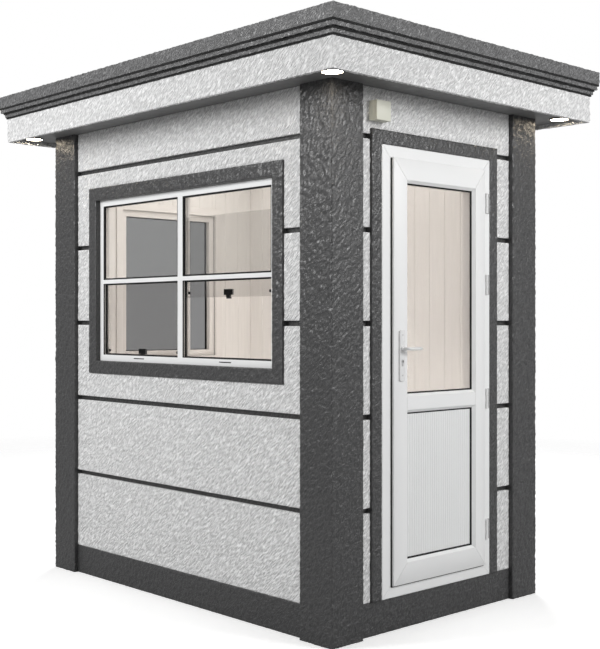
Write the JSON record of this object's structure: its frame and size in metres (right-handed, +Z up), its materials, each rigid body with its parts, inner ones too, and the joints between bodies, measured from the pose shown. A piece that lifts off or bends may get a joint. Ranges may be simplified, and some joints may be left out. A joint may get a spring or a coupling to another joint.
{
  "type": "modular guard cabin",
  "caption": "Flat-roofed modular guard cabin with plastered walls, dark corner posts and cornice, a sliding service window, a fixed side window and a part-glazed door that opens outward.",
  "frame": {"origin": "centre of the footprint, on the ground", "axes": "+Z up, -Y out through the service window, +X out through the door"},
  "size_m": [2.66, 1.96, 2.675],
  "materials": {
    "dark_plaster": "coarse trowelled plaster with semi-gloss paint",
    "white_plaster": "coarse white plaster",
    "wall_core": "matt dark sheet over insulation",
    "lining": "satin lining boards",
    "soffit": "satin",
    "base_steel": "matt primer",
    "floor_covering": "sheet flooring",
    "roof_sheet": "satin",
    "white_pvc": "satin white profile",
    "black_rubber": "matt",
    "black_plastic": "satin",
    "clear_glass": "clear",
    "sash_glass": "slightly tinted",
    "grey_glass": "grey tinted",
    "lamp_lens": "lit opal",
    "hinge_metal": "satin grey",
    "handle_white": "gloss white",
    "lock_metal": "nickel plated",
    "box_beige": "satin"
  },
  "bodies": {
    "cabin": {"base_frame": "base_steel", "floor_panel": "base_steel", "floor_deck": "floor_covering", "skirting": "dark_plaster", "post_front_left": "dark_plaster", "post_front_right": "dark_plaster", "post_back_left": "dark_plaster", "post_back_right": "dark_plaster", "front_wall": "wall_core", "left_wall": "wall_core", "back_wall": "wall_core", "right_wall_near": "wall_core", "right_wall_far": "wall_core", "right_wall_over": "wall_core", "front_cladding": "white_plaster", "left_cladding": "white_plaster", "back_cladding": "white_plaster", "right_cladding": "white_plaster", "long_linings": "lining", "short_linings": "lining", "ceiling": "lining", "soffit": "soffit", "fascia_long": "white_plaster", "fascia_short": "white_plaster", "cornice_long": "dark_plaster", "cornice_short": "dark_plaster", "roof_panel": "roof_sheet", "roof_deck": "roof_sheet", "downlight_rims": "black_plastic", "downlight_lenses": "lamp_lens", "window_architraves": "dark_plaster", "window_gaskets": "black_rubber", "window_inner_trims": "lining", "front_window_frame": "white_pvc", "front_window_panes": "clear_glass", "front_window_sashes": "sash_glass", "sash_fittings": "black_plastic", "left_window_frame": "white_pvc", "left_window_pane": "grey_glass", "door_architrave": "dark_plaster", "door_frame": "white_pvc", "frame_hinges": "hinge_metal", "junction_box": "box_beige"},
    "door_leaf": {"leaf_frame": "white_pvc", "leaf_glass": "clear_glass", "leaf_panel": "white_pvc", "leaf_gaskets": "black_rubber", "leaf_hinges": "hinge_metal", "handle_plates": "handle_white", "lock_cylinder": "lock_metal"},
    "door_handle": {"handle_levers": "handle_white"}
  },
  "joints": [
    {"name": "door_swing", "type": "hinge", "parent": "cabin", "child": "door_leaf", "pos_m": [1.106, 0.327, 1.1725], "axis": [0, 0, 1], "range_deg": [0, 105]},
    {"name": "handle_turn", "type": "hinge", "parent": "door_leaf", "child": "door_handle", "pos_m": [1.1, -0.306, 1.275], "axis": [-1, 0, 0], "range_deg": [0, 40], "stiffness_Nm_per_rad": 1.5, "springref_deg": -20.05}
  ]
}
